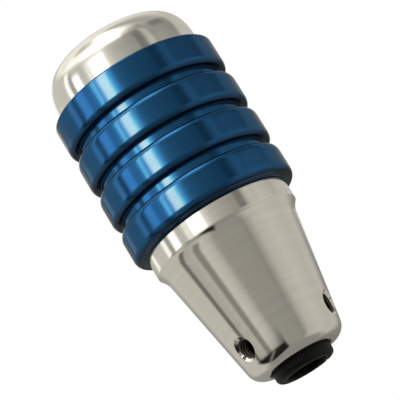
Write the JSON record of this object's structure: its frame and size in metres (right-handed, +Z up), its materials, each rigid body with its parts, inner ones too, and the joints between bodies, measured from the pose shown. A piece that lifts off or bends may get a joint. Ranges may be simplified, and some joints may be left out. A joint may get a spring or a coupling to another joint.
{
  "type": "gear shift knob",
  "caption": "Turned gear shift knob: ringed blue anodised sleeve between a polished dome cap and a polished tapered body, with a split black lever bush and grub screws.",
  "frame": {"origin": "centre of the lower end of the lever bush, where the knob's foot stands", "axes": "+Z up along the lever's axis to the domed cap; the first grub screw points along +Y"},
  "size_m": [0.042, 0.042, 0.0906],
  "materials": {
    "polished_body": "mirror polished, with fine turning marks",
    "blue_anodised": "blue anodised over fine turning marks",
    "polished_cap": "mirror polished",
    "black_nylon": "moulded, slightly satin",
    "zinc_steel": "bright zinc plated",
    "black_steel": "black oxide"
  },
  "bodies": {
    "knob": {"lower_body": "polished_body", "grip_sleeve": "blue_anodised", "top_cap": "polished_cap", "lever_bush": "black_nylon", "clamp_screw": "zinc_steel", "lock_washer": "zinc_steel"},
    "grub_1": {"grub_screw_1": "black_steel"},
    "grub_2": {"grub_screw_2": "black_steel"},
    "grub_3": {"grub_screw_3": "black_steel"}
  },
  "joints": [
    {"name": "grub_1_travel", "type": "slide", "parent": "knob", "child": "grub_1", "axis": [0, 1, 0], "range_m": [0, 0.0026]},
    {"name": "grub_2_travel", "type": "slide", "parent": "knob", "child": "grub_2", "axis": [-0.866, -0.5, 0], "range_m": [0, 0.0026]},
    {"name": "grub_3_travel", "type": "slide", "parent": "knob", "child": "grub_3", "axis": [0.866, -0.5, 0], "range_m": [0, 0.0026]}
  ]
}
